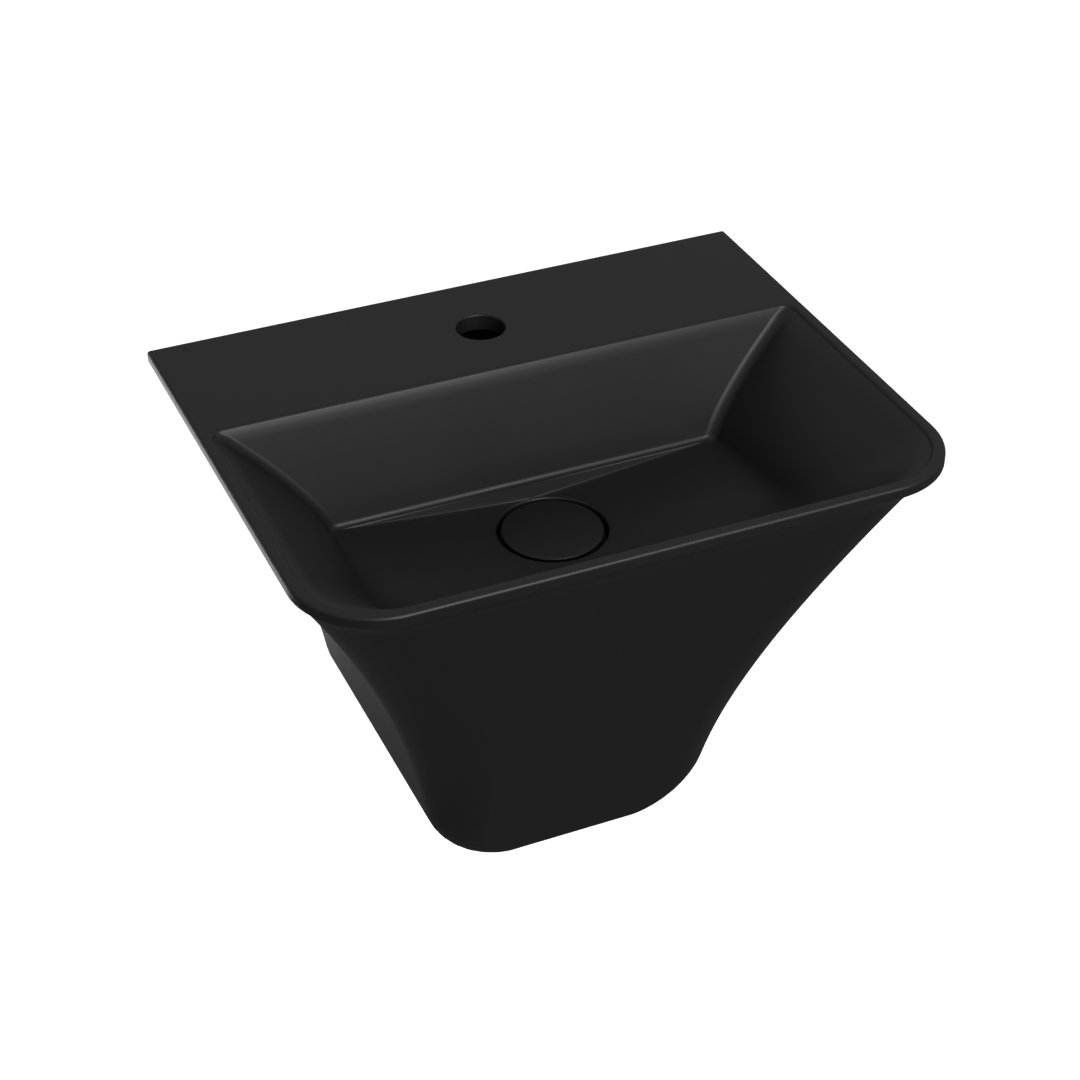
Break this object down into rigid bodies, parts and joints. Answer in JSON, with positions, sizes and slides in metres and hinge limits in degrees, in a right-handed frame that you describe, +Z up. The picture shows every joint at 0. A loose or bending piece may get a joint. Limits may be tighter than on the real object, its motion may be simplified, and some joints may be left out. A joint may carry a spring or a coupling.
{
  "type": "wall-hung washbasin with half pedestal",
  "caption": "Wall-hung washbasin with an integral half pedestal, one tap hole, click waste with ceramic cap and a bottle trap inside.",
  "frame": {"origin": "on the wall plane, midway between the two wall bolts", "axes": "+X along the wall, +Y into the wall, +Z up; the front of the basin faces -Y"},
  "size_m": [0.45, 0.42, 0.342],
  "materials": {
    "glazed_black": "matt black glaze, fine even surface",
    "black_rubber": "moulded black rubber",
    "bare_brass": "machined brass",
    "chromed_brass": "chromed brass",
    "white_plastic": "white moulded polypropylene",
    "nylon": "natural nylon",
    "zinc_steel": "zinc plated steel",
    "spring_steel": "stainless spring wire"
  },
  "bodies": {
    "basin_frame": {"basin": "glazed_black", "return_spring": "spring_steel", "cartridge_sleeve": "nylon", "waste_body": "chromed_brass", "flange_gasket": "black_rubber", "waste_seal": "black_rubber", "slip_washer": "nylon", "waste_locknut": "bare_brass", "coupling_nut": "white_plastic", "coupling_washer": "black_rubber", "inlet_tube": "white_plastic", "inlet_slip_nut": "white_plastic", "inlet_cone_washer": "black_rubber", "trap_body": "white_plastic", "cup_seal": "black_rubber", "trap_cup": "white_plastic", "outlet_slip_nut": "white_plastic", "outlet_cone_washer": "black_rubber", "outlet_pipe": "white_plastic", "wall_flange": "white_plastic", "hanger_bolts": "zinc_steel", "fixing_bushes": "nylon", "fixing_washers": "zinc_steel", "fixing_nuts": "zinc_steel"},
    "cap_assembly": {"waste_cap": "glazed_black", "cap_insert": "bare_brass", "cap_seal": "black_rubber", "plunger": "bare_brass"},
    "latch": {"latch_rotor": "nylon"}
  },
  "joints": [
    {"name": "cap_push", "type": "slide", "parent": "basin_frame", "child": "cap_assembly", "axis": [0, 0, 1], "range_m": [0, 0.008], "deforming": ["return_spring"]},
    {"name": "latch_turn", "type": "hinge", "parent": "cap_assembly", "child": "latch", "pos_m": [0, -0.189, -0.045], "axis": [0, 0, 1], "range_deg": [0, 45]}
  ],
  "couplings": [
    {"joint": "latch_turn", "follows": "cap_push", "rad_per_m": 98.175}
  ]
}
